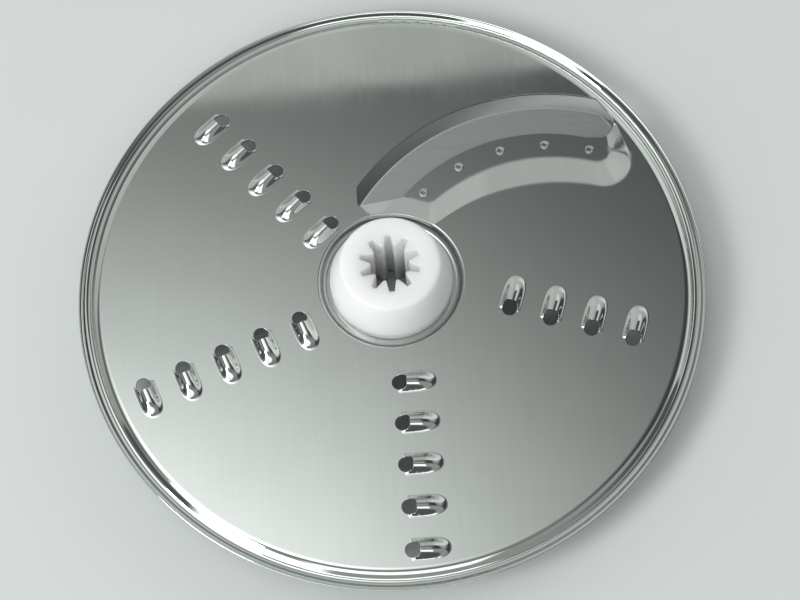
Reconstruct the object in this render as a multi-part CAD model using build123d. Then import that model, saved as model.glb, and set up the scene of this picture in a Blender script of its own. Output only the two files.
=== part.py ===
from build123d import *
from math import atan2, cos, degrees, hypot, radians, sin
import os

# Two-sided food processor disc: a pressed steel plate with raised grating teeth on its upper face,
# a slicing blade welded under a sunk seat for use with the other face up, and a moulded plastic hub.
# Millimetres. Z is the drive axis, and Z = 0 is the hub's lower face, on which the disc stands.

# Driving dimensions: sheet and levels
DISC_DIAMETER = 174.0
SHEET = 0.7
PLATE_TOP = 14.0
PRESS_DEPTH = 2.5
GROOVE_DEPTH = 1.9
CUT_EDGE_ROUNDING = 0.25

# Driving dimensions: pressed forms that run round the axis
WELL_RADIUS = 19.95
WELL_WALL_RUN = 0.9
SHOULDER_RADIUS = 81.8
GROOVE_RADIUS = 84.6
LIP_RADIUS = 86.3
LIP_RISE = 0.1

# Driving dimensions: grating teeth, in rows of direction, outermost radius and count
TOOTH_ROWS = ((130, 70.2, 5), (200, 73.7, 5), (270, 76.4, 5), (340, 68.3, 4))
TOOTH_PITCH = 11.5
TOOTH_HOLE_RADIUS = 2.05
MOUTH_DEPTH = 1.95
MOUTH_ROUNDING = 1.2
TOOTH_HEIGHT = 2.3
TOOTH_RADIUS = 2.8
TOOTH_NOSE = 1.0
TOOTH_LENGTH = 6.0
TOOTH_SLOPE = 7.0
TOOTH_FLARE = 1.1
TOOTH_PATCH_WIDTH = 7.2

# Driving dimensions: slicing opening and blade, drawn about one arc centre
ARC_CENTRE = (43.4, -9.5)
SLOT_OUTER_RADIUS = 64.0
CUTTING_RADIUS = 61.1
SEAT_EDGE_RADIUS = 52.35
WELD_RADIUS = 48.55
BLADE_BACK_RADIUS = 45.5
BLADE_THICKNESS = 0.8
BLADE_BEVEL = 4.0
EDGE_LAND = 0.15
WELD_COUNT = 5
WELD_FIRST_ANGLE = 70.3
WELD_STEP_ANGLE = 15.3

# Driving dimensions: slicing seat, a ramp from the bend at its brim to the bend at its foot
FOOT_CENTRE = (44.9, -14.6)
FOOT_RADIUS = 49.3
BRIM_CENTRE = (45.2, -27.5)
BRIM_RADIUS = 53.5

# Driving dimensions: hub
HUB_TOP = 25.3
HUB_FACE_RADIUS = 13.6
HUB_SKIRT_RADIUS = 17.0
HUB_SKIRT_RISE = 3.4
HUB_SEAT_ACROSS_CORNERS = 30.0
SOCKET_GROOVES = 10
SOCKET_GROOVE_RADIUS = 8.3
SOCKET_TIP_RADIUS = 5.3
SOCKET_GROOVE_WIDTH = 1.5
SOCKET_TIP_WIDTH = 0.7

# Derived levels
DISC_RADIUS = DISC_DIAMETER / 2
PLATE_BOTTOM = PLATE_TOP - SHEET
FLOOR_TOP = PLATE_TOP - PRESS_DEPTH
FLOOR_BOTTOM = FLOOR_TOP - SHEET
BLADE_BOTTOM = FLOOR_BOTTOM - BLADE_THICKNESS


def on_arc(radius, angle):
    """Plan point at a radius and direction from the slicing arc centre."""
    return (
        ARC_CENTRE[0] + radius * cos(radians(angle)),
        ARC_CENTRE[1] + radius * sin(radians(angle)),
    )


def arc_about(centre, radius, start, end):
    """Plan arc about a centre from one direction to another, in degrees."""
    return CenterArc((centre[0], centre[1], 0), radius, start, end - start)


def at_level(shape, level):
    """The same shape lifted to a level."""
    return Pos(0, 0, level) * shape


def edges_at_level(shape, level):
    """Edges of a shape that lie flat at a level."""
    return shape.edges().filter_by_position(Axis.Z, level - 0.01, level + 0.01)


def drawn_sheet():
    """The plate before piercing: flat sheet with the well in the middle and the groove at the rim."""
    upper = FilletPolyline(
        (10.0, FLOOR_TOP),
        (WELL_RADIUS - WELL_WALL_RUN, FLOOR_TOP),
        (WELL_RADIUS, PLATE_TOP),
        (SHOULDER_RADIUS, PLATE_TOP),
        (GROOVE_RADIUS, PLATE_TOP - GROOVE_DEPTH),
        (LIP_RADIUS, PLATE_TOP + LIP_RISE),
        (DISC_RADIUS, PLATE_TOP),
        radius=[1.4, 0.8, 3.6, 1.5, 1.1],
    )
    section = make_face(offset(upper, amount=SHEET, side=Side.RIGHT))
    sheet = revolve(Plane.XZ * section, Axis.Z)
    cut_edges = sheet.edges().filter_by(GeomType.CIRCLE).sort_by(SortBy.RADIUS)[-2:]
    return fillet(cut_edges, CUT_EDGE_ROUNDING)


def seat_outline(ramp_side, right_top, crossing, left_top, left_foot, corners):
    """Plan outline of the slicing seat at one level.

    It runs along the ramp, up the outer side, back through the opening, and round the inner tip into the
    well. The corners are the roundings at the ramp's inner and outer ends.
    """
    face = make_face([
        ramp_side,
        Line(ramp_side @ 1, right_top),
        ThreePointArc(right_top, crossing, left_top),
        Line(left_top, left_foot),
        Line(left_foot, ramp_side @ 0),
    ])
    for end_point, rounding in zip((ramp_side @ 0, ramp_side @ 1), corners):
        corner = face.vertices().sort_by_distance(end_point)[0]
        face = fillet(corner, rounding)
    return face


def seat_pocket():
    """Space that the press draws down for the slicing seat, from the plate's level to the seat's floor."""
    floor_side = arc_about(FOOT_CENTRE, FOOT_RADIUS, 130.0, 65.55)
    floor = seat_outline(floor_side, (65.2, 43.0), (33.0, 48.6), (3.2, 26.85), (4.0, 26.6), (2.5, 3.5))
    brim_side = arc_about(BRIM_CENTRE, BRIM_RADIUS, 127.7, 56.0)
    brim = seat_outline(brim_side, (68.0, 42.4), (33.0, 50.0), (-7.5, 23.5), (-3.5, 18.0), (5.0, 8.0))
    return loft([at_level(floor, FLOOR_TOP), at_level(brim, PLATE_TOP)], ruled=True)


def slicing_opening():
    """Opening that the slices pass through: long arcs, a slanted outer end and a rounded inner end."""
    outer_left = on_arc(SLOT_OUTER_RADIUS, 143.2)
    outer_right = on_arc(SLOT_OUTER_RADIUS, 71.9)
    tip = (70.6, 39.6)
    seat_right = on_arc(SEAT_EDGE_RADIUS, 72.0)
    seat_left = on_arc(SEAT_EDGE_RADIUS, 137.5)
    inner_tip = (-7.9, 23.0)
    face = make_face([
        arc_about(ARC_CENTRE, SLOT_OUTER_RADIUS, 143.2, 71.9),
        Line(outer_right, tip),
        Line(tip, seat_right),
        arc_about(ARC_CENTRE, SEAT_EDGE_RADIUS, 72.0, 137.5),
        Line(seat_left, inner_tip),
        Line(inner_tip, outer_left),
    ])
    for corner, rounding in ((tip, 3.6), (outer_left, 2.0), (inner_tip, 0.7)):
        vertex = face.vertices().sort_by_distance((*corner, 0))[0]
        face = fillet(vertex, rounding)
    return extrude(face, PLATE_TOP + 5)


def tooth_rod(inset):
    """Round-ended rod that a tooth is formed over, sloping down from its mouth to its closed end.

    The tooth lies along +X from its hole at the origin, and Z = 0 is the plate's upper skin. The inset
    moves the rod's face inwards from that skin.
    """
    radius = TOOTH_RADIUS - inset
    nose = TOOTH_NOSE - inset
    bullet = make_face([
        Line((inset, 0), (inset, radius - nose)),
        CenterArc((inset + nose, radius - nose, 0), nose, 90, 90),
        Line((inset + nose, radius), (TOOTH_LENGTH, radius)),
        CenterArc((TOOTH_LENGTH, 0, 0), radius, 0, 90),
        Line((TOOTH_LENGTH + radius, 0), (inset, 0)),
    ])
    return Pos(0, 0, TOOTH_HEIGHT - TOOTH_RADIUS) * Rot(0, TOOTH_SLOPE, 0) * revolve(bullet, Axis.X)


def tooth_block(width, bottom, top):
    """Block of sheet round one tooth, from before its mouth to past its closed end."""
    start = -2 * TOOTH_FLARE
    end = TOOTH_LENGTH + TOOTH_RADIUS + TOOTH_FLARE
    middle = Pos((start + end) / 2, 0, (bottom + top) / 2)
    return middle * Box(end - start, width, top - bottom)


def tooth_form(inset, level):
    """One tooth rising from a face of the sheet through a flare, still closed at its mouth.

    The inset moves the form inwards from the upper skin, and the level is that of the sheet's face.
    """
    foot = level - SHEET / 2
    crown = TOOTH_HEIGHT + SHEET
    wide = TOOTH_PATCH_WIDTH + 2 * TOOTH_FLARE
    form = (tooth_rod(inset) & tooth_block(wide, foot, crown)) + tooth_block(wide, foot, level)
    meeting = edges_at_level(form, level).filter_by_position(Axis.Y, -TOOTH_RADIUS, TOOTH_RADIUS)
    meeting = meeting.filter_by_position(Axis.X, -TOOTH_FLARE, TOOTH_LENGTH + TOOTH_RADIUS)
    form = fillet(meeting, TOOTH_FLARE + inset)
    return form & tooth_block(TOOTH_PATCH_WIDTH, foot, crown)


def tooth_hole():
    """Pierced hole of one tooth: round in front, and straight across where it cuts back the raised mouth."""
    radius = TOOTH_HOLE_RADIUS
    face = make_face([
        CenterArc((0, 0, 0), radius, 90, 180),
        Line((0, -radius), (MOUTH_DEPTH, -radius)),
        Line((MOUTH_DEPTH, -radius), (MOUTH_DEPTH, radius)),
        Line((MOUTH_DEPTH, radius), (0, radius)),
    ])
    face = fillet(face.vertices().group_by(Axis.X)[-1], MOUTH_ROUNDING)
    return Pos(0, 0, -3 * SHEET) * extrude(face, TOOTH_HEIGHT + 5 * SHEET)


def tooth_places():
    """Place of every tooth: its hole's middle, turned so that the tooth lies counter-clockwise of it."""
    places = []
    for direction, outermost, count in TOOTH_ROWS:
        for i in range(count):
            radius = outermost - TOOTH_PITCH * i
            places.append(Rot(0, 0, direction) * Pos(radius, 0, PLATE_TOP) * Rot(0, 0, 90))
    return places


def blade_outline():
    """Plan outline of the blade: an arc strip, clear of the hub, with a clipped outer corner."""
    ring = Circle(CUTTING_RADIUS) - Circle(BLADE_BACK_RADIUS)
    strip = Pos(*ARC_CENTRE) * ring
    window = make_face(Polyline(
        (-8.2, 10.0),
        (-8.2, 40.0),
        (40.0, 60.0),
        (60.2, 50.3),
        (67.8, 44.8),
        (64.6, 33.0),
        (62.0, 25.0),
        close=True,
    ))
    return (strip & window) - Circle(WELL_RADIUS + 2.0)


def star_outline():
    """Plan outline of the drive socket: grooves with flat bottoms between narrow flat-topped teeth."""
    points = []
    for groove in range(SOCKET_GROOVES):
        middle = 90 + groove * 360 / SOCKET_GROOVES
        next_tip = middle + 180 / SOCKET_GROOVES
        for radius, angle, width in (
            (SOCKET_GROOVE_RADIUS, middle, SOCKET_GROOVE_WIDTH),
            (SOCKET_TIP_RADIUS, next_tip, SOCKET_TIP_WIDTH),
        ):
            half_angle = degrees(atan2(width / 2, radius))
            reach = hypot(radius, width / 2)
            for turn in (angle - half_angle, angle + half_angle):
                points.append((reach * cos(radians(turn)), reach * sin(radians(turn))))
    return make_face(Polyline(*points, close=True))


def weld_marks(level, side):
    """Shallow round dents that the electrodes leave along the weld line."""
    ball = 12.0
    depth = 0.04
    lift = level + side * (ball - depth)
    angles = [WELD_FIRST_ANGLE + WELD_STEP_ANGLE * i for i in range(WELD_COUNT)]
    return [Pos(*on_arc(WELD_RADIUS, angle), lift) * Sphere(ball) for angle in angles]


def hub_seat_prism(bottom, top):
    """Six-sided prism of the centre hole, which keeps the moulded hub from turning in the sheet."""
    hexagon = RegularPolygon(HUB_SEAT_ACROSS_CORNERS / 2, 6)
    return extrude(at_level(hexagon, bottom), top - bottom)


def make_disc_plate():
    """The pressed and pierced steel plate."""
    pocket = seat_pocket()
    well_space = extrude(at_level(Circle(WELL_RADIUS - WELL_WALL_RUN / 2), FLOOR_TOP), PRESS_DEPTH)
    plate = drawn_sheet() + (Pos(0, 0, -SHEET) * pocket - well_space)
    plate = plate - pocket - slicing_opening()
    plate = plate - hub_seat_prism(FLOOR_BOTTOM - 5, PLATE_TOP + 5)
    skin = tooth_form(0, 0)
    hollow = tooth_form(SHEET, -SHEET)
    hole = tooth_hole()
    plate = plate + [place * skin for place in tooth_places()]
    plate = plate - [place * space for place in tooth_places() for space in (hollow, hole)]
    return plate - weld_marks(FLOOR_TOP, 1)


def make_slicing_blade():
    """The welded blade strip, ground to an edge from its lower side."""
    strip = extrude(at_level(blade_outline(), BLADE_BOTTOM), BLADE_THICKNESS)
    grind = make_face(Polyline(
        (CUTTING_RADIUS - BLADE_BEVEL, BLADE_BOTTOM),
        (CUTTING_RADIUS, FLOOR_BOTTOM - EDGE_LAND),
        (CUTTING_RADIUS + 2, FLOOR_BOTTOM - EDGE_LAND),
        (CUTTING_RADIUS + 2, BLADE_BOTTOM - 1),
        (CUTTING_RADIUS - BLADE_BEVEL, BLADE_BOTTOM - 1),
        close=True,
    ))
    bevel = Pos(*ARC_CENTRE) * revolve(Plane.XZ * grind, Axis.Z)
    return strip - bevel - weld_marks(BLADE_BOTTOM, -1)


def make_drive_hub():
    """The moulded hub: a cone on each side of the sheet, and the grooved socket right through."""
    profile = make_face(Polyline(
        (0, 0),
        (HUB_FACE_RADIUS, 0),
        (HUB_SKIRT_RADIUS, FLOOR_BOTTOM - HUB_SKIRT_RISE / 2),
        (HUB_SKIRT_RADIUS, FLOOR_TOP + HUB_SKIRT_RISE),
        (HUB_FACE_RADIUS, HUB_TOP),
        (0, HUB_TOP),
        close=True,
    ))
    body = revolve(Plane.XZ * profile, Axis.Z)
    rims = body.edges().filter_by(GeomType.CIRCLE).group_by(Axis.Z)
    body = fillet(rims[0] + rims[-1], 1.0)
    sheet_gap = extrude(at_level(Circle(HUB_SKIRT_RADIUS + 5), FLOOR_BOTTOM), SHEET)
    body = body - (sheet_gap - hub_seat_prism(FLOOR_BOTTOM, FLOOR_TOP))
    return body - extrude(at_level(star_outline(), -1), HUB_TOP + 2)


def main():
    """Build every piece and write it to its own file."""
    os.makedirs("parts", exist_ok=True)
    pieces = {
        "disc_plate": make_disc_plate(),
        "slicing_blade": make_slicing_blade(),
        "drive_hub": make_drive_hub(),
    }
    for name, piece in pieces.items():
        export_step(piece, f"parts/{name}.step")


main()
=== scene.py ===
import logging
import math
from dataclasses import dataclass, field
from enum import Enum

import bmesh
import bpy
from mathutils import Matrix, Vector


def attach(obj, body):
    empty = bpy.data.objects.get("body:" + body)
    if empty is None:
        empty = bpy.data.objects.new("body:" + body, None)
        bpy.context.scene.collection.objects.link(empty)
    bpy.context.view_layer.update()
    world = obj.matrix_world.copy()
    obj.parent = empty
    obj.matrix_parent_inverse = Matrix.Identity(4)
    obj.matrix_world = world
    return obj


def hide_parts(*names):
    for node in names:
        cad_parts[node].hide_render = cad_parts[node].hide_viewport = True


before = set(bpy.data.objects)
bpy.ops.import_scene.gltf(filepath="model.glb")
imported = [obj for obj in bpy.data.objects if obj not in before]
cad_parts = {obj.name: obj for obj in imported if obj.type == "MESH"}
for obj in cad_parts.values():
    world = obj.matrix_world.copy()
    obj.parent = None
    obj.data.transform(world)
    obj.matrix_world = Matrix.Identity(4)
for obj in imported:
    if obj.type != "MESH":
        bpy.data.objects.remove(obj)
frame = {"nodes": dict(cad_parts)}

LOG = logging.getLogger("food_processor_disc")
MM = 0.001
PLATE_TOP = 14.0 * MM
ARC_CENTRE = (43.4 * MM, -9.5 * MM)  # of the seat's arc, which the blade shares

Colour = tuple[float, float, float]
Point = tuple[float, float, float]
Pair = tuple[float, float]  # a place on the plate, or the two ends of a span
Clouds = tuple[float, float, float]  # a noise's clouds to the metre, finer layers and their share
Normals = dict[int, Vector]  # by the index of a vertex
Socket = bpy.types.NodeSocket


class Step(Enum):
    """Arithmetic that a Math node does."""

    ADD = "ADD"
    SUBTRACT = "SUBTRACT"
    MULTIPLY = "MULTIPLY"
    DIVIDE = "DIVIDE"
    MAXIMUM = "MAXIMUM"
    EXPONENT = "EXPONENT"
    ABSOLUTE = "ABSOLUTE"
    ARCTAN2 = "ARCTAN2"
    WRAP = "WRAP"
    SQRT = "SQRT"
    MULTIPLY_ADD = "MULTIPLY_ADD"


class Space(Enum):
    """Coordinates that a pattern is laid out in."""

    OBJECT = "Object"
    DIRECTION = "Generated"


class NodeBench:
    """A node tree with short calls for the nodes that the finishes are made of."""

    def __init__(self, tree: bpy.types.NodeTree) -> None:
        """Take over a tree and empty it."""
        self.tree = tree
        tree.nodes.clear()

    def add(self, kind: str, **values) -> bpy.types.Node:
        """Add a node and set its properties.

        Args:
            kind: Type name of the node.
            **values: Properties of the node by name.

        Returns:
            The new node.
        """
        node = self.tree.nodes.new(kind)
        for name, value in values.items():
            setattr(node, name, value)
        return node

    def feed(self, socket: Socket, value) -> None:
        """Link another socket to this one, or set its constant."""
        if isinstance(value, Socket):
            self.tree.links.new(value, socket)
        else:
            socket.default_value = value

    def place(self, space: Space) -> Socket:
        """Coordinates of the shaded point in the given space."""
        return self.add("ShaderNodeTexCoord").outputs[space.value]

    def math(self, step: Step, first, second=0.0, third=0.0) -> Socket:
        """Arithmetic on two or three values.

        Args:
            step: What is done.
            first: Socket or number.
            second: Socket or number.
            third: Socket or number, where the step takes one.

        Returns:
            The result's socket.
        """
        node = self.add("ShaderNodeMath", operation=step.value)
        for socket, value in zip(node.inputs, (first, second, third)):
            self.feed(socket, value)
        return node.outputs[0]

    def squares(self, first: Socket, second: Socket) -> Socket:
        """Sum of the squares of two values."""
        parts = (self.math(Step.MULTIPLY, value, value) for value in (first, second))
        return self.math(Step.ADD, *parts)

    def split(self, vector: Socket) -> list[Socket]:
        """The X, Y and Z of a vector."""
        node = self.add("ShaderNodeSeparateXYZ")
        self.feed(node.inputs[0], vector)
        return list(node.outputs)

    def scaled(self, vector: Socket, scale: Point, shift: Point = (0, 0, 0)) -> Socket:
        """A vector moved and scaled by a Mapping node.

        Args:
            vector: Socket of the vector.
            scale: Factor along each axis.
            shift: Move before the scaling, in the vector's own units.

        Returns:
            The mapped vector's socket.
        """
        node = self.add("ShaderNodeMapping")
        self.feed(node.inputs["Vector"], vector)
        node.inputs["Scale"].default_value = scale
        node.inputs["Location"].default_value = tuple(-s * k for s, k in zip(shift, scale))
        return node.outputs[0]

    def joined(self, x, y, z) -> Socket:
        """A vector of three values."""
        node = self.add("ShaderNodeCombineXYZ")
        for socket, value in zip(node.inputs, (x, y, z)):
            self.feed(socket, value)
        return node.outputs[0]

    def facing(self, normal: Socket) -> Socket:
        """How far a normal agrees with that of the mesh, 1 if they are the same."""
        node = self.add("ShaderNodeVectorMath", operation="DOT_PRODUCT")
        self.feed(node.inputs[0], normal)
        self.feed(node.inputs[1], self.add("ShaderNodeNewGeometry").outputs["Normal"])
        return node.outputs["Value"]

    def along(self, vector: Socket, axis: Point) -> Socket:
        """Part of a vector along an axis."""
        node = self.add("ShaderNodeVectorMath", operation="DOT_PRODUCT")
        self.feed(node.inputs[0], vector)
        node.inputs[1].default_value = axis
        return node.outputs["Value"]

    def length(self, vector: Socket) -> Socket:
        """Length of a vector."""
        node = self.add("ShaderNodeVectorMath", operation="LENGTH")
        self.feed(node.inputs[0], vector)
        return node.outputs["Value"]

    def span(self, value, low: float, high: float, start: float = 0.0, end: float = 1.0) -> Socket:
        """Smooth change from one value to another over a span.

        Args:
            value: Socket that is read.
            low: Reading at the start of the span.
            high: Reading at its end.
            start: Result up to the start.
            end: Result from the end on.

        Returns:
            The result's socket.
        """
        node = self.add("ShaderNodeMapRange", interpolation_type="SMOOTHSTEP")
        self.feed(node.inputs["Value"], value)
        for name, number in (("From Min", low), ("From Max", high), ("To Min", start), ("To Max", end)):
            node.inputs[name].default_value = number
        return node.outputs[0]

    def within(self, first: Socket, first_span: Pair, second: Socket, second_span: Pair) -> Socket:
        """Share in which two values are both past their spans.

        Args:
            first: Socket of one value.
            first_span: Its readings for a share of 0 and of 1.
            second: Socket of the other value.
            second_span: Its readings for a share of 0 and of 1.

        Returns:
            The share's socket.
        """
        return self.math(Step.MULTIPLY, self.span(first, *first_span), self.span(second, *second_span))

    def ramp(self, value, low: float, high: float, end: float) -> Socket:
        """Straight change from zero over a span.

        Args:
            value: Socket that is read.
            low: Reading up to which the result is zero.
            high: Reading from which the result is the end value.
            end: Result from there on.

        Returns:
            The result's socket.
        """
        node = self.add("ShaderNodeMapRange")
        self.feed(node.inputs["Value"], value)
        for name, number in (("From Min", low), ("From Max", high), ("To Min", 0.0), ("To Max", end)):
            node.inputs[name].default_value = number
        return node.outputs[0]

    def noise(self, vector, scale: float, detail: float = 2.0, rough: float = 0.5) -> Socket:
        """Cloudy noise between 0 and 1.

        Args:
            vector: Socket of the coordinates.
            scale: Clouds to the metre.
            detail: Number of finer layers.
            rough: Share of the finer layers.

        Returns:
            The noise's socket.
        """
        node = self.add("ShaderNodeTexNoise")
        self.feed(node.inputs["Vector"], vector)
        node.inputs["Scale"].default_value = scale
        node.inputs["Detail"].default_value = detail
        node.inputs["Roughness"].default_value = rough
        return node.outputs["Fac"]

    def blend(self, share, first, second) -> Socket:
        """Colour between two colours.

        Args:
            share: Socket or number, 0 for the first colour and 1 for the second.
            first: Socket or colour.
            second: Socket or colour.

        Returns:
            The blended colour's socket.
        """
        node = self.add("ShaderNodeMix", data_type="RGBA")
        self.feed(node.inputs["Factor"], share)
        for index, value in ((6, first), (7, second)):
            self.feed(node.inputs[index], value if isinstance(value, Socket) else (*value, 1.0))
        return node.outputs[2]

    def mix(self, share, first, second) -> Socket:
        """Number between two numbers.

        Args:
            share: Socket or number, 0 for the first and 1 for the second.
            first: Socket or number.
            second: Socket or number.

        Returns:
            The result's socket.
        """
        node = self.add("ShaderNodeMix", data_type="FLOAT")
        self.feed(node.inputs["Factor"], share)
        self.feed(node.inputs[2], first)
        self.feed(node.inputs[3], second)
        return node.outputs[0]

    def eased(self, radius: float, samples: int = 4) -> Socket:
        """Normal of the surface with its edges eased to a radius."""
        node = self.add("ShaderNodeBevel", samples=samples)
        node.inputs["Radius"].default_value = radius
        return node.outputs[0]

    def between(self, share, first, second) -> Socket:
        """Vector between two vectors.

        Args:
            share: Socket or number, 0 for the first and 1 for the second.
            first: Socket of a vector.
            second: Socket of a vector.

        Returns:
            The result's socket.
        """
        node = self.add("ShaderNodeMix", data_type="VECTOR")
        self.feed(node.inputs["Factor"], share)
        self.feed(node.inputs[4], first)
        self.feed(node.inputs[5], second)
        return node.outputs[1]

    def bump(self, height, depth: float, strength: float = 1.0, below=None) -> Socket:
        """Normal of a surface with a relief.

        Args:
            height: Socket of the relief, from 0 to 1.
            depth: Height of a full step in metres.
            strength: Share of the relief that shows.
            below: Socket of a coarser relief's normal, if any.

        Returns:
            The normal's socket.
        """
        node = self.add("ShaderNodeBump")
        node.inputs["Strength"].default_value = strength
        node.inputs["Distance"].default_value = depth
        self.feed(node.inputs["Height"], height)
        if below is not None:
            self.feed(node.inputs["Normal"], below)
        return node.outputs[0]

    def principled(self, colour, rough, normal=None, metallic: float = 0.0) -> bpy.types.Node:
        """Principled shader with a colour, a roughness and a relief.

        Args:
            colour: Socket of the base colour.
            rough: Socket or number.
            normal: Socket of the relief's normal, if any.
            metallic: 1 for bare metal.

        Returns:
            The shader's node.
        """
        shader = self.add("ShaderNodeBsdfPrincipled")
        shader.inputs["Metallic"].default_value = metallic
        self.feed(shader.inputs["Base Color"], colour)
        self.feed(shader.inputs["Roughness"], rough)
        if normal is not None:
            self.feed(shader.inputs["Normal"], normal)
        return shader

    def show(self, shader: bpy.types.Node, output: str = "ShaderNodeOutputMaterial") -> None:
        """Make a shader the result of the tree."""
        self.feed(self.add(output).inputs["Surface"], shader.outputs[0])


def start_material(name: str) -> tuple[bpy.types.Material, NodeBench]:
    """Make an empty procedural material.

    Args:
        name: Name of the material.

    Returns:
        The material and the bench for its nodes.
    """
    material = bpy.data.materials.new(name)
    material.use_nodes = True
    return material, NodeBench(material.node_tree)


def towards(azimuth: float, elevation: float) -> Vector:
    """Direction at an azimuth and an elevation in degrees."""
    a, e = math.radians(azimuth), math.radians(elevation)
    return Vector((math.cos(a) * math.cos(e), math.sin(a) * math.cos(e), math.sin(e)))


def smooth_step(value: float, start: float, end: float) -> float:
    """Smooth change from 0 at the start of a span to 1 at its end."""
    share = min(max((value - start) / (end - start), 0.0), 1.0)
    return share**2 * (3 - 2 * share)


@dataclass(frozen=True)
class TurnedSection:
    """Section of the sheet's upper skin in millimetres.

    A corner is a distance from the axis and a height, and every corner between the ends has a rounding.
    """

    corners: tuple[Pair, ...] = (
        (10.0, 11.5),
        (19.05, 11.5),
        (19.95, 14.0),
        (81.8, 14.0),
        (84.6, 12.1),
        (86.3, 14.1),
        (87.0, 14.0),
    )
    roundings: tuple[float, ...] = (1.4, 0.8, 3.6, 1.5, 1.1)

    def slopes(self) -> list[tuple[float, float, float]]:
        """Each rounding's start and end distance, and the change of the normal's outward part over it."""
        found = []
        points = [Vector(corner) for corner in self.corners]
        for before, corner, after, radius in zip(points, points[1:], points[2:], self.roundings):
            into, out = (corner - before).normalized(), (after - corner).normalized()
            reach = radius * math.tan(into.angle(out) / 2)
            found.append((corner.x - into.x * reach, corner.x + out.x * reach, into.y - out.y))
        return found


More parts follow.
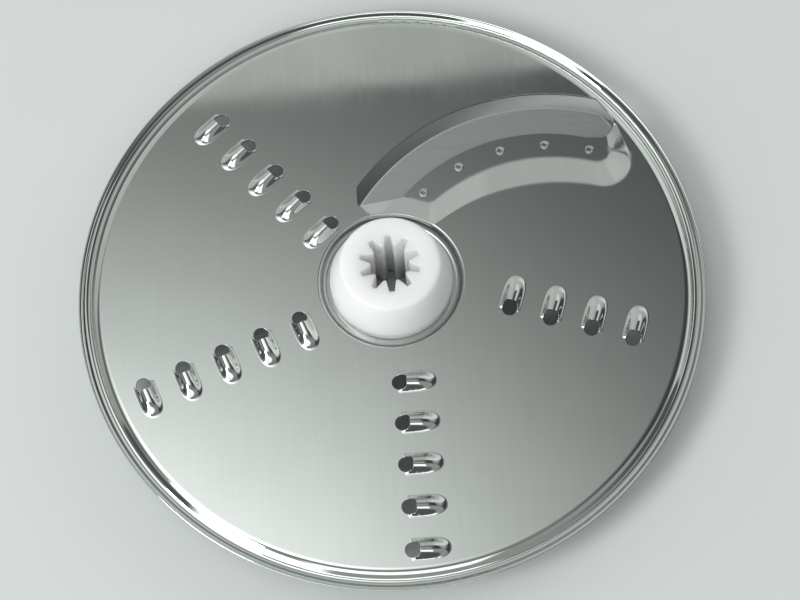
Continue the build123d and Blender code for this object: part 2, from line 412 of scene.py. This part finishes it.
@dataclass(frozen=True)
class PlateSteel:
    """Rolled stainless sheet: nearly a mirror, with cut edges eased and the seat's bends soft."""

    colour: Colour = (0.605, 0.64, 0.615)
    dull_colour: Colour = (0.575, 0.608, 0.585)
    flat_roughness: Pair = (0.04, 0.075)
    drawn_roughness: float = 0.05
    rim_start: float = 80.7 * MM
    well_end: float = 20.6 * MM
    drawn_change: float = 0.8 * MM
    raised_heights: Pair = (0.08 * MM, 0.4 * MM)
    clouds: Clouds = (34.0, 3.0, 0.55)
    grain: Clouds = (1.0, 2.0, 0.6)
    grain_stretch: Point = (900, 14, 900)
    grain_depth: float = 0.4e-6
    cloud_share: float = 0.7
    grain_share: float = 0.3
    haze_rough: Pair = (0.3, 0.7)
    haze_dull: Pair = (0.35, 0.75)
    waves: Clouds = (26.0, 1.0, 0.4)
    plate_top: float = PLATE_TOP
    wave_depth: float = 0.05 * MM
    edge_radius: float = 0.16 * MM
    bend_radius: float = 1.3 * MM
    bend_samples: int = 8
    turned_facing: Pair = (0.84, 0.9)
    turned_rim: Pair = (80.5 * MM, 80.6 * MM)
    turned_edge: Pair = (86.75 * MM, 86.7 * MM)
    turned_well: Pair = (20.7 * MM, 20.6 * MM)
    clear_of_edge: Pair = (0.8 * MM, 1.6 * MM)
    clear_of_well: Pair = (21.0 * MM, 22.2 * MM)
    seat_start_x: Pair = (-9 * MM, -7 * MM)
    seat_start_y: Pair = (11 * MM, 13 * MM)
    arc_centre: Pair = ARC_CENTRE
    seat_edge_radius: float = 52.35 * MM
    weld_radius: float = 48.55 * MM
    weld_first: float = 70.3
    weld_step: float = 15.3
    weld_count: int = 5
    weld_ring_radius: float = 0.95 * MM
    weld_ring_width: float = 0.45 * MM
    weld_clouds: Clouds = (1100.0, 2.0, 0.6)
    weld_depth: float = 0.07 * MM
    section: TurnedSection = field(default_factory=TurnedSection)

    def turned_normal(self, bench: NodeBench, point: Socket, radius: Socket, below: Socket) -> Socket:
        """Exact normal of the turned forms on the upper side, where the surface follows them.

        A rounding's outward slope changes evenly with the distance from the axis, so straight ramps
        give it.

        Args:
            bench: The material's nodes.
            point: Socket of the place.
            radius: Socket of the distance from the drive axis.
            below: Socket of the normal that is kept elsewhere.

        Returns:
            The normal's socket.
        """
        x, y, _ = bench.split(point)
        slope = 0.0
        for start, end, change in self.section.slopes():
            slope = bench.math(Step.ADD, bench.ramp(radius, start * MM, end * MM, change), slope)
        square = bench.math(Step.MULTIPLY, slope, slope)
        upright = bench.math(Step.SQRT, bench.math(Step.SUBTRACT, 1.0, square))
        outward = bench.math(Step.DIVIDE, slope, radius)
        aside, ahead = (bench.math(Step.MULTIPLY, value, outward) for value in (x, y))
        normal = bench.joined(aside, ahead, upright)
        share = bench.span(bench.facing(normal), *self.turned_facing)
        inside, outside = (bench.span(radius, *span) for span in (self.turned_rim, self.turned_edge))
        rim = bench.math(Step.MULTIPLY, inside, outside)
        well = bench.span(radius, *self.turned_well)
        share = bench.math(Step.MULTIPLY, share, bench.math(Step.MAXIMUM, rim, well))
        return bench.between(share, below, normal)

    def bend_share(self, bench: NodeBench, point: Socket, radius: Socket) -> Socket:
        """Where the seat's soft bends lie, clear of its cut edge and of the well.

        Args:
            bench: The material's nodes.
            point: Socket of the place.
            radius: Socket of the distance from the drive axis.

        Returns:
            The share's socket, 1 on the seat and its ramp.
        """
        x, y, _ = bench.split(point)
        from_arc = bench.length(bench.scaled(point, (1, 1, 0), (*self.arc_centre, 0)))
        seat = bench.span(from_arc, *(self.seat_edge_radius - clear for clear in self.clear_of_edge))
        for place, span in ((y, self.seat_start_y), (x, self.seat_start_x), (radius, self.clear_of_well)):
            seat = bench.math(Step.MULTIPLY, seat, bench.span(place, *span))
        return seat

    def weld_relief(self, bench: NodeBench, point: Socket) -> Socket:
        """Relief of the weld spots: a rough ring round each electrode mark.

        Args:
            bench: The material's nodes.
            point: Socket of the place.

        Returns:
            The relief's socket.
        """
        centred = bench.scaled(point, (1, 1, 0), (*self.arc_centre, 0))
        x, y, _ = bench.split(centred)
        out = bench.math(Step.SUBTRACT, bench.length(centred), self.weld_radius)
        turn = bench.math(Step.ARCTAN2, y, x)
        half = math.radians(self.weld_step) / 2
        first = math.radians(self.weld_first)
        off = bench.math(Step.WRAP, bench.math(Step.SUBTRACT, turn, first), half, -half)
        side = bench.math(Step.MULTIPLY, off, self.weld_radius)
        distance = bench.math(Step.SQRT, bench.squares(out, side))
        ring = bench.math(Step.SUBTRACT, distance, self.weld_ring_radius)
        ring = bench.span(bench.math(Step.ABSOLUTE, ring), self.weld_ring_width, 0.0)
        last = first + half * 2 * (self.weld_count - 0.5)
        ring = bench.math(Step.MULTIPLY, ring, bench.span(turn, first - half, first - half * 0.9))
        ring = bench.math(Step.MULTIPLY, ring, bench.span(turn, last, last - half * 0.1))
        return bench.math(Step.MULTIPLY, ring, bench.noise(point, *self.weld_clouds))

    def material(self) -> bpy.types.Material:
        """Make the finish as a procedural material.

        Returns:
            The new material.
        """
        material, bench = start_material("plate_steel")
        point = bench.place(Space.OBJECT)
        height = bench.split(point)[2]
        radius = bench.length(bench.scaled(point, (1, 1, 0)))

        rim = bench.span(radius, self.rim_start, self.rim_start + self.drawn_change)
        well = bench.span(radius, self.well_end, self.well_end - self.drawn_change)
        raised = bench.span(height, *(self.plate_top + rise for rise in self.raised_heights))
        drawn = bench.math(Step.MAXIMUM, bench.math(Step.MAXIMUM, rim, well), raised)

        clouds = bench.noise(point, *self.clouds)
        grain = bench.noise(bench.scaled(point, self.grain_stretch), *self.grain)
        cloudy = bench.math(Step.MULTIPLY, clouds, self.cloud_share)
        grainy = bench.math(Step.MULTIPLY, grain, self.grain_share)
        haze = bench.math(Step.ADD, cloudy, grainy)
        flat = bench.span(haze, *self.haze_rough, *self.flat_roughness)
        rough = bench.mix(drawn, flat, self.drawn_roughness)
        colour = bench.blend(bench.span(haze, *self.haze_dull), self.colour, self.dull_colour)

        bends = self.bend_share(bench, point, radius)
        soft = bench.eased(self.bend_radius, self.bend_samples)
        eased = bench.between(bends, bench.eased(self.edge_radius), soft)
        formed = self.turned_normal(bench, point, radius, eased)
        waves = bench.bump(bench.noise(point, *self.waves), self.wave_depth, below=formed)
        grained = bench.bump(grain, self.grain_depth, below=waves)
        welded = bench.bump(self.weld_relief(bench, point), self.weld_depth, below=grained)
        bench.show(bench.principled(colour, rough, welded, metallic=1.0))
        return material


@dataclass(frozen=True)
class BladeSteel:
    """Ground blade steel: satin, with a honed strip along the cutting edge that is smoother and painted
    lighter, a painted highlight of its bevel.
    """

    colour: Colour = (0.52, 0.54, 0.535)
    roughness: Pair = (0.23, 0.26)
    # Colour of the honed strip: lighter than the steel, a painted highlight standing in for the edge bevel
    # catching the light.
    honed_highlight_colour: Colour = (0.8, 0.82, 0.81)
    honed_roughness: float = 0.22
    arc_centre: Pair = ARC_CENTRE
    cutting_radius: float = 61.1 * MM
    honed_highlight_width: float = 0.4 * MM
    honed_highlight_fade: float = 0.2 * MM
    ragged: Clouds = (900.0, 1.0, 0.5)
    ragged_width: float = 0.3 * MM
    grind: Clouds = (1.0, 2.0, 0.6)
    grind_stretch: Point = (60, 1500, 1500)
    grind_span: Pair = (0.3, 0.7)
    grind_depth: float = 0.05e-6

    def material(self) -> bpy.types.Material:
        """Make the finish as a procedural material.

        Returns:
            The new material.
        """
        material, bench = start_material("blade_steel")
        point = bench.place(Space.OBJECT)
        centred = bench.scaled(point, (1, 1, 0), (*self.arc_centre, 0))
        radius = bench.length(centred)
        grind = bench.noise(bench.scaled(point, self.grind_stretch), *self.grind)
        ragged = bench.math(Step.MULTIPLY, bench.noise(point, *self.ragged), self.ragged_width)
        # Mask of the honed strip along the cutting edge: smoother there, and painted lighter as a
        # highlight of the bevel.
        honed_highlight_from = self.cutting_radius - self.honed_highlight_width
        honed_highlight = bench.span(bench.math(Step.ADD, radius, ragged), honed_highlight_from, honed_highlight_from + self.honed_highlight_fade)
        ground = bench.span(grind, *self.grind_span, *self.roughness)
        rough = bench.mix(honed_highlight, ground, self.honed_roughness)
        # Painted highlight: the honed strip's colour is lighter than the ground steel.
        colour = bench.blend(honed_highlight, self.colour, self.honed_highlight_colour)
        normal = bench.bump(grind, self.grind_depth)
        bench.show(bench.principled(colour, rough, normal, metallic=1.0))
        return material


@dataclass(frozen=True)
class HubPlastic:
    """White moulded plastic with a satin skin."""

    colour: Colour = (0.94, 0.955, 0.935)
    shaded_colour: Colour = (0.90, 0.92, 0.895)
    roughness: Pair = (0.32, 0.41)
    edge_radius: float = 0.2 * MM
    translucency: float = 1.0
    light_reach: float = 9.0 * MM
    reach_by_colour: Colour = (1.0, 0.96, 0.88)
    clouds: Clouds = (120.0, 3.0, 0.55)
    cloud_shade: Pair = (0.45, 0.75)
    cloud_rough: Pair = (0.3, 0.7)
    skin: Clouds = (2600.0, 2.0, 0.5)
    skin_depth: float = 3.0e-6
    skin_strength: float = 0.6

    def material(self) -> bpy.types.Material:
        """Make the finish as a procedural material.

        Returns:
            The new material.
        """
        material, bench = start_material("hub_plastic")
        point = bench.place(Space.OBJECT)
        clouds = bench.noise(point, *self.clouds)
        skin = bench.noise(point, *self.skin)
        colour = bench.blend(bench.span(clouds, *self.cloud_shade), self.colour, self.shaded_colour)
        rough = bench.span(clouds, *self.cloud_rough, *self.roughness)
        normal = bench.bump(skin, self.skin_depth, self.skin_strength, bench.eased(self.edge_radius))

        shader = bench.principled(colour, rough, normal)
        shader.inputs["Subsurface Weight"].default_value = self.translucency
        shader.inputs["Subsurface Radius"].default_value = self.reach_by_colour
        shader.inputs["Subsurface Scale"].default_value = self.light_reach
        bench.show(shader)
        return material


@dataclass(frozen=True)
class FloorPaint:
    """Plain pale floor."""

    colour: Colour = (0.66, 0.69, 0.685)
    other_colour: Colour = (0.645, 0.675, 0.67)
    clouds: Clouds = (60.0, 4.0, 0.6)
    roughness: float = 0.9
    shine: float = 0.1

    def material(self) -> bpy.types.Material:
        """Make the finish as a procedural material.

        Returns:
            The new material.
        """
        material, bench = start_material("floor_paint")
        point = bench.place(Space.OBJECT)
        clouds = bench.noise(point, *self.clouds)
        colour = bench.blend(clouds, self.colour, self.other_colour)
        shader = bench.principled(colour, self.roughness)
        shader.inputs["Specular IOR Level"].default_value = self.shine
        bench.show(shader)
        return material


@dataclass(frozen=True)
class LightPanel:
    """Soft-edged bright panel, far off in one direction, with its half sizes as slopes."""

    azimuth: float
    elevation: float
    half_width: float
    half_height: float
    softness: float
    strength: float
    least_ahead: float = 0.001

    def light(self, bench: NodeBench, direction: Socket) -> Socket:
        """Light that the panel adds in a direction.

        Args:
            bench: The world's nodes.
            direction: Socket of the direction.

        Returns:
            The light's socket.
        """
        facing = towards(self.azimuth, self.elevation)
        turn = math.radians(self.azimuth)
        aside = Vector((-math.sin(turn), math.cos(turn), 0.0))
        ahead = bench.math(Step.MAXIMUM, bench.along(direction, facing), self.least_ahead)
        shares = []
        for axis, half in ((aside, self.half_width), (facing.cross(aside), self.half_height)):
            slope = bench.math(Step.DIVIDE, bench.along(direction, axis), ahead)
            off = bench.math(Step.ABSOLUTE, slope)
            shares.append(bench.span(off, half + self.softness, half - self.softness))
        return bench.math(Step.MULTIPLY, bench.math(Step.MULTIPLY, *shares), self.strength)


@dataclass
class SoftStudio:
    """Floor, soft overhead light and pale walls round the object."""

    floor_half: float = 20.0
    glow_place: Pair = (-0.31, 0.01)
    glow_width: float = 0.256
    glow_strength: float = 2.65
    ceiling: float = 0.07
    wall: float = 0.45
    right_wall: float = 0.95
    far_left: float = 0.08
    near_wall: float = 0.42
    shade: float = 0.12
    camera_shade: float = 0.3
    horizon: float = 0.07
    least_rise: float = 0.02
    wall_gain: float = 0.2
    far_left_aside: Pair = (0.005, -0.045)
    far_left_ahead: Pair = (0.2, 0.4)
    right_aside: Pair = (0.15, 0.5)
    right_rise: Pair = (0.26, 0.42)
    low_rise: Pair = (0.26, 0.12)
    low_ahead: Pair = (0.5, 0.2)
    far_edge_tilt: float = -0.02
    far_edge: Pair = (0.567, 0.577)
    wall_rise: Pair = (0.75, 0.45)
    near_rise: Pair = (0.55, 0.42)
    camera_rise: Pair = (0.8, 0.88)
    near_ahead: Pair = (-0.1, -0.25)
    horizon_rise: Pair = (0.06, 0.0)
    light_colour: Colour = (0.985, 1.0, 0.99)
    lamp_azimuth: float = 210.0
    lamp_elevation: float = 48.0
    lamp_distance: float = 1.4
    lamp_radius: float = 0.25
    lamp_power: float = 7.0
    lamp_colour: Colour = (1.0, 1.0, 0.99)
    window: LightPanel = LightPanel(227.0, 30.0, 0.27, 0.3, 0.06, 2.2)
    near_panel: LightPanel = LightPanel(266.0, 50.0, 0.3, 0.22, 0.05, 1.5)

    def build_floor(self) -> bpy.types.Object:
        """Lay the floor under the object.

        Returns:
            The floor's object.
        """
        mesh = bpy.data.meshes.new("floor")
        form = bmesh.new()
        bmesh.ops.create_grid(form, x_segments=4, y_segments=4, size=self.floor_half)
        form.to_mesh(mesh)
        form.free()
        mesh.materials.append(FloorPaint().material())
        floor = bpy.data.objects.new("floor", mesh)
        bpy.context.scene.collection.objects.link(floor)
        return floor

    def build_world(self) -> bpy.types.World:
        """Make the light that comes from all round: a glow overhead, pale walls and a soft window.

        Returns:
            The scene's world.
        """
        world = bpy.data.worlds.new("soft_studio")
        world.use_nodes = True
        bench = NodeBench(world.node_tree)
        direction = bench.place(Space.DIRECTION)
        x, y, z = bench.split(direction)
        rise = bench.math(Step.MAXIMUM, z, self.least_rise)
        aside = bench.math(Step.DIVIDE, x, rise)
        ahead = bench.math(Step.DIVIDE, y, rise)

        off_aside = bench.math(Step.SUBTRACT, aside, self.glow_place[0])
        off_ahead = bench.math(Step.SUBTRACT, ahead, self.glow_place[1])
        off = bench.squares(off_aside, off_ahead)
        fade = bench.math(Step.EXPONENT, bench.math(Step.MULTIPLY, off, -0.5 / self.glow_width**2))
        ceiling = bench.math(Step.ADD, bench.math(Step.MULTIPLY, fade, self.glow_strength), self.ceiling)

        wall = bench.math(Step.ADD, bench.math(Step.MULTIPLY, y, self.wall_gain), self.wall)
        far_left = bench.within(aside, self.far_left_aside, y, self.far_left_ahead)
        wall = bench.math(Step.MULTIPLY_ADD, far_left, self.far_left, wall)
        wall = bench.mix(bench.within(x, self.right_aside, z, self.right_rise), wall, self.right_wall)
        wall = bench.mix(bench.within(z, self.low_rise, y, self.low_ahead), wall, self.horizon)
        tilted = bench.math(Step.MULTIPLY_ADD, aside, self.far_edge_tilt, ahead)
        far_edge = bench.span(tilted, *self.far_edge)
        low = bench.span(z, *self.wall_rise)
        light = bench.mix(bench.math(Step.MAXIMUM, far_edge, low), ceiling, wall)
        near = bench.mix(bench.span(z, *self.near_rise), self.near_wall, self.shade)
        near = bench.mix(bench.span(z, *self.camera_rise), near, self.camera_shade)
        light = bench.mix(bench.span(ahead, *self.near_ahead), light, near)
        for panel in (self.window, self.near_panel):
            light = bench.math(Step.ADD, light, panel.light(bench, direction))
        light = bench.mix(bench.span(z, *self.horizon_rise), light, self.horizon)

        background = bench.add("ShaderNodeBackground")
        background.inputs["Color"].default_value = (*self.light_colour, 1.0)
        bench.feed(background.inputs["Strength"], light)
        bench.show(background, "ShaderNodeOutputWorld")
        bpy.context.scene.world = world
        return world

    def build_lamp(self) -> bpy.types.Object:
        """Hang the round soft lamp up on the near left.

        Returns:
            The lamp's object.
        """
        direction = towards(self.lamp_azimuth, self.lamp_elevation)
        lamp = bpy.data.lights.new("soft_lamp", "AREA")
        lamp.shape = "DISK"
        lamp.size = 2 * self.lamp_radius
        lamp.energy = self.lamp_power
        lamp.color = self.lamp_colour
        holder = bpy.data.objects.new("soft_lamp", lamp)
        holder.location = direction * self.lamp_distance
        holder.rotation_mode = "QUATERNION"
        holder.rotation_quaternion = direction.to_track_quat("Z", "Y")
        bpy.context.scene.collection.objects.link(holder)
        return holder


@dataclass
class PhotoCamera:
    """Camera at the photograph's angle, with sizes in millimetres and degrees."""

    azimuth: float = -0.24
    elevation: float = 68.0
    distance: float = 440.34
    roll: float = 4.41
    aim: Point = (1.96, -6.19, 13.35)
    focal_pixels: float = 1594.24
    image_width: float = 800.0
    sensor_width: float = 36.0

    def build(self) -> bpy.types.Object:
        """Set the camera up and make it the scene's own.

        Returns:
            The camera's object.
        """
        a, e, r = (math.radians(v) for v in (self.azimuth, self.elevation, self.roll))
        back = Vector((math.sin(a) * math.cos(e), -math.cos(a) * math.cos(e), math.sin(e)))
        level_right = Vector((math.cos(a), math.sin(a), 0.0))
        level_up = back.cross(level_right)
        right = level_right * math.cos(r) - level_up * math.sin(r)
        up = level_up * math.cos(r) + level_right * math.sin(r)
        eye = (Vector(self.aim) + back * self.distance) * MM

        lens = bpy.data.cameras.new("photo_camera")
        lens.sensor_width = self.sensor_width
        lens.lens = self.focal_pixels * lens.sensor_width / self.image_width
        lens.clip_start = 0.01
        lens.clip_end = 100.0
        camera = bpy.data.objects.new("photo_camera", lens)
        turn = Matrix((right, up, back)).transposed()
        camera.matrix_world = Matrix.Translation(eye) @ turn.to_4x4()
        bpy.context.scene.collection.objects.link(camera)
        bpy.context.scene.camera = camera
        return camera


@dataclass(frozen=True)
class ToothRows:
    """Rows of raised teeth at even angles round the plate, with sizes in millimetres and degrees.

    Each tooth is a smooth swelling, high and steep at its mouth and low at its closed end.
    """

    first_row: float = 130.0
    row_step: float = 70.0
    lead: float = 20.0
    rows: tuple[tuple[float, int], ...] = ((70.2, 5), (73.7, 5), (76.4, 5), (68.3, 4))
    pitch: float = 11.5
    crest: float = 2.2
    fall: float = 0.09
    fullness: float = 2.4
    half_width: float = 3.05
    mouth_half_width: float = 2.95
    round_end: float = 4.6
    end_length: float = 5.6
    stretch_start: float = 2.0
    stretch: float = 1.2
    mouth_start: float = -0.5
    mouth_end: float = 0.9
    spread_start: float = 0.5
    spread_end: float = 3.0

    def local(self, x: float, y: float) -> tuple[float, float, float]:
        """Place within the nearest tooth's own frame.

        Args:
            x: Place on the plate.
            y: Place on the plate.

        Returns:
            The row's angle in radians, and the places across the tooth and along it from its hole.
        """
        turn = (math.degrees(math.atan2(y, x)) - self.first_row + self.lead) % 360.0
        index = min(int(turn // self.row_step), len(self.rows) - 1)
        angle = math.radians(self.first_row + self.row_step * index)
        out = x * math.cos(angle) + y * math.sin(angle)
        along = y * math.cos(angle) - x * math.sin(angle)
        outer, count = self.rows[index]
        steps = min(max(round((outer - out) / self.pitch), 0), count - 1)
        return angle, out - outer + steps * self.pitch, along

    def height(self, across: float, along: float) -> float:
        """Height of the upper skin over the plate at a place in a tooth's frame."""
        rise = smooth_step(along, self.mouth_start, self.mouth_end)
        spread = smooth_step(along, self.spread_start, self.spread_end)
        width = self.mouth_half_width + (self.half_width - self.mouth_half_width) * spread
        closing = max(along - self.round_end, 0.0) / self.end_length
        swell = max(1.0 - (abs(across) / width) ** self.fullness - closing**self.fullness, 0.0) ** 2
        return (self.crest - self.fall * along) * swell * rise

    def normal(self, angle: float, across: float, along: float) -> Vector:
        """Normal of the upper skin at a place in a tooth's frame.

        Args:
            angle: The row's angle.
            across: Place across the tooth.
            along: Place along it.

        Returns:
            The normal in the plate's frame.
        """
        step = 0.01
        outward = (self.height(across - step, along) - self.height(across + step, along)) / (2 * step)
        forward = (self.height(across, along - step) - self.height(across, along + step)) / (2 * step)
        return (Matrix.Rotation(angle, 3, "Z") @ Vector((outward, forward, 1.0))).normalized()


@dataclass
class PlateSkin:
    """The pressed sheet as it shows: the CAD node's faces, with refined teeth and clean normals."""

    node: str = "disc_plate"
    teeth: ToothRows = field(default_factory=ToothRows)
    plate_top: float = PLATE_TOP
    inner_radius: float = 21.0 * MM
    outer_radius: float = 80.4 * MM
    tooth_edge: float = 0.4 * MM
    rounds: int = 6
    raised_by: float = 0.005 * MM
    least_upright: float = 0.02
    merge: float = 0.002 * MM
    crease: float = math.radians(28.0)
    level_share: float = 0.99999
    flat_reach: float = math.radians(12.0)
    tooth_reach: float = math.radians(50.0)

    def raised(self, face: bmesh.types.BMFace) -> bool:
        """Whether a face belongs to the upper skin of a tooth."""
        top = max(vert.co.z for vert in face.verts)
        if face.normal.z < self.least_upright or top < self.plate_top + self.raised_by:
            return False
        return all(self.inner_radius < vert.co.xy.length < self.outer_radius for vert in face.verts)

    def refine(self, form: bmesh.types.BMesh) -> Normals:
        """Cut the teeth's faces up finely and lay them on the teeth's smooth form.

        Args:
            form: The sheet's faces.

        Returns:
            The normals of the teeth's vertices by index.
        """
        for _ in range(self.rounds):
            faces = [face for face in form.faces if self.raised(face)]
            edges = {edge for face in faces for edge in face.edges}
            long_edges = [edge for edge in edges if edge.calc_length() > self.tooth_edge]
            bmesh.ops.subdivide_edges(form, edges=long_edges, cuts=1)
            bmesh.ops.triangulate(form, faces=[face for face in form.faces if len(face.verts) > 3])
            form.normal_update()
        form.verts.index_update()
        normals = {}
        for vert in {vert for face in form.faces if self.raised(face) for vert in face.verts}:
            angle, across, along = self.teeth.local(vert.co.x / MM, vert.co.y / MM)
            longer = max(along - self.teeth.stretch_start, 0.0) * (self.teeth.stretch - 1.0)
            vert.co += Vector((-math.sin(angle), math.cos(angle), 0.0)) * longer * MM
            vert.co.z = self.plate_top + self.teeth.height(across, along + longer) * MM
            normals[vert.index] = self.teeth.normal(angle, across, along + longer)
        form.normal_update()
        form.faces.index_update()
        return normals

    def corner_normal(
        self, face: bmesh.types.BMFace, vert: bmesh.types.BMVert, teeth: Normals, flats: Normals
    ) -> Vector:
        """Normal of one corner of a face that is not level.

        Args:
            face: The face.
            vert: Its corner.
            teeth: Normals of the teeth's vertices.
            flats: Normals of the level faces' vertices.

        Returns:
            The normal that the face is near enough to, or zero.
        """
        for known, reach in ((teeth, self.tooth_reach), (flats, self.flat_reach)):
            normal = known.get(vert.index)
            if normal is not None and normal.angle(face.normal, math.pi) < reach:
                return normal
        return Vector((0.0, 0.0, 0.0))

    def clean_normals(self, form: bmesh.types.BMesh, teeth: Normals) -> list[Vector]:
        """Normal of every face corner: exact on the flats and the teeth, zero where it is left alone.

        Args:
            form: The sheet's faces.
            teeth: Normals of the teeth's vertices.

        Returns:
            The normals in the order of the faces' corners.
        """
        level, flats = {}, {}
        for face in form.faces:
            heights = [vert.co.z for vert in face.verts]
            if abs(face.normal.z) > self.level_share or max(heights) - min(heights) < self.merge:
                level[face.index] = Vector((0.0, 0.0, math.copysign(1.0, face.normal.z)))
                flats.update((vert.index, level[face.index]) for vert in face.verts)
        return [
            level[face.index] if face.index in level else self.corner_normal(face, vert, teeth, flats)
            for face in form.faces
            for vert in face.verts
        ]

    def build(self, source: bpy.types.Object) -> bpy.types.Object:
        """Make the piece that shows in place of the CAD node.

        Args:
            source: The CAD node.

        Returns:
            The piece.
        """
        form = bmesh.new()
        form.from_mesh(source.data)
        bmesh.ops.remove_doubles(form, verts=form.verts, dist=self.merge)
        bmesh.ops.recalc_face_normals(form, faces=form.faces)
        teeth = self.refine(form)
        for face in form.faces:
            face.smooth = True
        for edge in form.edges:
            edge.smooth = edge.calc_face_angle(math.pi) < self.crease
        normals = self.clean_normals(form, teeth)
        mesh = bpy.data.meshes.new("pressed_plate")
        form.to_mesh(mesh)
        form.free()
        mesh.normals_split_custom_set(normals)
        piece = bpy.data.objects.new("pressed_plate", mesh)
        bpy.context.scene.collection.objects.link(piece)
        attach(piece, "root")
        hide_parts(self.node)
        return piece


def dress(node: bpy.types.Object, material: bpy.types.Material) -> None:
    """Give a CAD node one finish in all its material slots."""
    if not node.material_slots:
        node.data.materials.append(material)
    for slot in node.material_slots:
        slot.material = material


@dataclass
class Disc:
    """The disc's three pieces and their finishes."""

    skin: PlateSkin = field(default_factory=PlateSkin)
    plate: PlateSteel = field(default_factory=PlateSteel)
    blade: BladeSteel = field(default_factory=BladeSteel)
    hub: HubPlastic = field(default_factory=HubPlastic)

    def dress(self, nodes: dict[str, bpy.types.Object]) -> None:
        """Finish every piece, and show the plate with its clean normals.

        Args:
            nodes: The CAD nodes by name.
        """
        skin = self.skin.build(nodes[self.skin.node])
        pieces = ((skin, self.plate), (nodes["slicing_blade"], self.blade), (nodes["drive_hub"], self.hub))
        for piece, finish in pieces:
            dress(piece, finish.material())
            faces = len(piece.data.polygons)
            LOG.info("%s finished as %s, %d faces", piece.name, type(finish).__name__, faces)


def main() -> None:
    """Build the studio and the disc, and log each piece's face count."""
    logging.basicConfig(level=logging.INFO, format="%(name)s: %(message)s")
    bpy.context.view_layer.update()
    bpy.context.scene.view_settings.view_transform = "Standard"
    PhotoCamera().build()
    studio = SoftStudio()
    studio.build_floor()
    studio.build_world()
    studio.build_lamp()
    Disc().dress(frame["nodes"])


if __name__ == "__main__":
    main()
